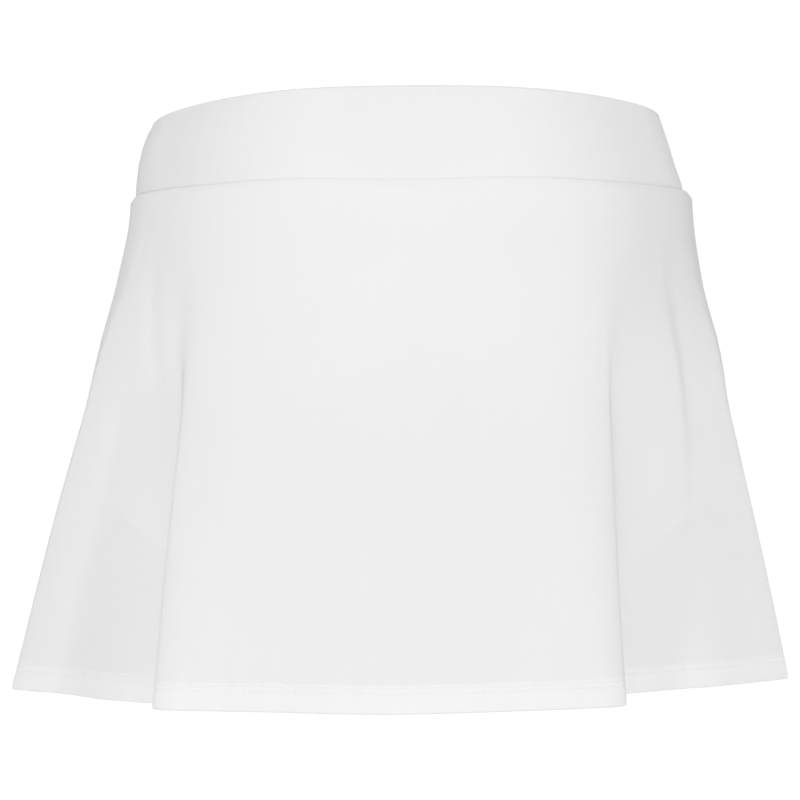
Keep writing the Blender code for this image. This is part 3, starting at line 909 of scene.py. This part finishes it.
def hem_tones(finish, look):
    """What the hem, its stitches and the layers behind the skirt add to its tone, as (value, weight) pairs:
    painted light on the double cloth and the outer thighs, painted shade along the stitches and where the
    front hangs free.

    The cloth is also pulled in where the needles went through it.
    """
    _, along, above = finish.layer("Edge")
    across, _, height = finish.in_space_parts()
    # painted light: the hem's double cloth is lighter, as less of the dark inside shows through it
    double_cloth_light = finish.rest(finish.step(above, TURN_UP - DOUBLE_SOFTNESS, TURN_UP))
    upper, lower = (finish.bell(above, row, PULL_WIDTH) for row in (UPPER_STITCHES, LOWER_STITCHES))
    rows = finish.total((upper, 1.0), (lower, 1.0))
    pulls = finish.math("COSINE", finish.product(along, 2 * np.pi / (STITCH_LENGTH + STITCH_GAP)))
    finish.relief(finish.product(rows, pulls), PULL_DEPTH)
    # painted shade where the front hangs free as one layer, darkest in the middle, with the dark inside
    # showing through
    middle = finish.total((finish.bell(across, 0.0, SINGLE_SHADE_WIDTH), SINGLE_SHADE_MIDDLE), (1.0, 1 - SINGLE_SHADE_MIDDLE))
    hanging_shade = finish.rest(finish.step(height, SINGLE_SHADE_TO, SINGLE_SHADE_FROM))
    single_shade_mask = finish.product(hanging_shade, middle, finish.rest(double_cloth_light))
    # painted light on the outer thighs, above a soft slanting edge, for a pale layer behind the cloth that
    # is not built
    outwards = finish.math("SUBTRACT", finish.math("ABSOLUTE", across), LEG_EDGE_FROM)
    level = finish.math("SUBTRACT", height, finish.product(outwards, LEG_EDGE_SLOPE))
    backed = finish.product(
        finish.step(level, LEG_EDGE - LEG_EDGE_SOFTNESS, LEG_EDGE + LEG_EDGE_SOFTNESS),
        finish.step(height, SINGLE_SHADE_FROM, LEG_EDGE + LEG_WIDTH),
        finish.bell(outwards, LEG_WIDTH, LEG_WIDTH),
    )
    # the hem's painted light, the painted shade of the single cloth, the painted light on the outer thighs
    # and the painted shade along the stitches
    return (double_cloth_light, look.hem), (single_shade_mask, look.single), (backed, look.backed), (rows, ROWS_SHADE_SHARE)


def cloth_finish(name, look):
    """The white knit, with the faint unevenness of its yarns, its stitches and slow waves, painted shade at
    its sides and, on the skirt, painted light and shade at the hem and where layers lie behind it.
    """
    finish = Finish(name, CLOTH_ROUGHNESS, CLOTH_SHEEN)
    place, x, y = finish.layer("Knit")
    stitches = finish.knit(x, y)
    yarn = finish.noise(place, *YARN_WAVES)
    streaks = finish.noise(place, look.streaks, STREAK_WAVES_UP, detail=3.0)
    patches = finish.noise(finish.in_space(), *PATCH_WAVES)
    wobble = finish.noise(finish.in_space(), *WOBBLE_WAVES, detail=1.0)
    across, _, height = finish.in_space_parts()
    # painted shade on the left and right sides, darker on the right, where the light falls off round the
    # hips
    left = finish.step(across, -look.side_from, -look.side_to)
    right = finish.step(across, look.side_from, look.side_to)
    side_shade = finish.total((left, look.left), (right, look.right))
    tones = [
        (look.base, 1.0),
        (stitches, STITCH_SHARE),
        (yarn, YARN_SHARE),
        (streaks, look.streak_share),
        (patches, PATCH_SHARE),
        (finish.product(side_shade, finish.step(height, SIDE_SHADE_FOOT, SIDE_SHADE_FULL)), 1.0),
    ]
    if look.hem:
        tones += hem_tones(finish, look)
    finish.colour(CLOTH_DARK, CLOTH_LIGHT, finish.total(*tones))
    rough = finish.total((1.0, CLOTH_ROUGHNESS - YARN_ROUGHNESS / 2), (yarn, YARN_ROUGHNESS))
    finish.feed(finish.shader.inputs["Roughness"], rough)
    finish.relief(wobble, look.wobble)
    finish.relief(streaks, STREAK_DEPTH)
    finish.relief(stitches, KNIT_DEPTH)
    return finish.material


def thread_finish(name):
    """White sewing thread: two plies twisted together, a little glossier than the cloth."""
    finish = Finish(name, THREAD_ROUGHNESS, THREAD_SHEEN)
    twist = finish.noise(finish.in_space(), *TWIST_WAVES)
    shade = finish.noise(finish.in_space(), *SHADE_WAVES)
    share = finish.total((twist, TWIST_SHARE), (shade, 1 - TWIST_SHARE))
    finish.colour(THREAD_DARK, THREAD_LIGHT, share)
    rough = finish.total((1.0, THREAD_ROUGHNESS - TWIST_ROUGHNESS / 2), (twist, TWIST_ROUGHNESS))
    finish.feed(finish.shader.inputs["Roughness"], rough)
    finish.relief(twist, TWIST_DEPTH)
    return finish.material


def camera():
    eye = bpy.data.cameras.new("camera")
    eye.sensor_width = SENSOR_WIDTH
    eye.lens = LENS
    holder = bpy.data.objects.new("camera", eye)
    bpy.context.scene.collection.objects.link(holder)
    holder.location = EYE
    holder.rotation_euler = (np.radians(90.0), np.radians(EYE_ROLL), 0.0)
    bpy.context.scene.camera = holder


def light():
    world = bpy.data.worlds.new("studio")
    bpy.context.scene.world = world
    world.use_nodes = True
    background = world.node_tree.nodes["Background"]
    background.inputs["Color"].default_value = (1.0, 1.0, 1.0, 1.0)
    background.inputs["Strength"].default_value = ROOM_LIGHT
    for lamp in LAMPS:
        sun = bpy.data.lights.new(lamp.name, "SUN")
        sun.angle = np.radians(lamp.spread)
        sun.energy = lamp.share * np.pi
        holder = bpy.data.objects.new(lamp.name, sun)
        holder.rotation_euler = (np.radians(90.0 - lamp.height), 0.0, np.radians(lamp.side))
        bpy.context.scene.collection.objects.link(holder)
    bpy.context.scene.view_settings.view_transform = "Standard"


def backdrop():
    """A white dome and floor that only the camera sees."""
    material = bpy.data.materials.new("backdrop_white")
    material.use_nodes = True
    nodes = material.node_tree.nodes
    nodes.remove(nodes["Principled BSDF"])
    glow = nodes.new("ShaderNodeEmission")
    glow.inputs["Strength"].default_value = BACKDROP_GLOW
    material.node_tree.links.new(glow.outputs["Emission"], nodes["Material Output"].inputs["Surface"])
    bpy.ops.mesh.primitive_uv_sphere_add(radius=DOME_RADIUS, segments=DOME_SEGMENTS, ring_count=DOME_RINGS)
    dome = bpy.context.active_object
    dome.name = "backdrop"
    bpy.ops.mesh.primitive_plane_add(size=FLOOR_SIZE, location=(0, 0, FLOOR_HEIGHT))
    floor = bpy.context.active_object
    floor.name = "floor"
    for surface in (dome, floor):
        surface.data.materials.append(material)
        surface.visible_diffuse = False
        surface.visible_glossy = False
        surface.visible_shadow = False
        surface.visible_transmission = False


def main():
    camera()
    light()
    backdrop()
    skirt_cloth = cloth_finish("white_knit", SKIRT_LOOK)
    band_cloth = cloth_finish("white_band_knit", BAND_LOOK)
    thread = thread_finish("white_thread")
    skirt = Skirt()
    left, right = skirt.seams
    left_again = left + skirt.length
    side = BAND_SIDE_ANGLE
    halves = (("front", -side, side, left, right), ("back", side, 360.0 - side, right, left_again))
    for name, first_angle, last_angle, first, last in halves:
        band = waistband_half(f"waistband_{name}_knit", first_angle, last_angle, band_cloth)
        panel = skirt_panel(skirt, f"skirt_{name}_knit", first, last, skirt_cloth)
        band_sewing = [waist_overlock(f"waist_overlock_{name}", first_angle, last_angle, thread)]
        panel_sewing = [
            hem_stitches(skirt, f"hem_stitches_{name}", first, last, thread),
            hem_looper(skirt, f"hem_looper_{name}", first, last, thread),
        ]
        if name == "back":
            panel_sewing += side_allowance(skirt, "left_seam_allowance", left, skirt_cloth, thread)
            panel_sewing += side_allowance(skirt, "right_seam_allowance", right, skirt_cloth, thread)
        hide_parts(f"waistband_{name}")
        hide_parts(f"skirt_{name}")
        for piece in (band, panel, *band_sewing, *panel_sewing):
            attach(piece, "root")


main()
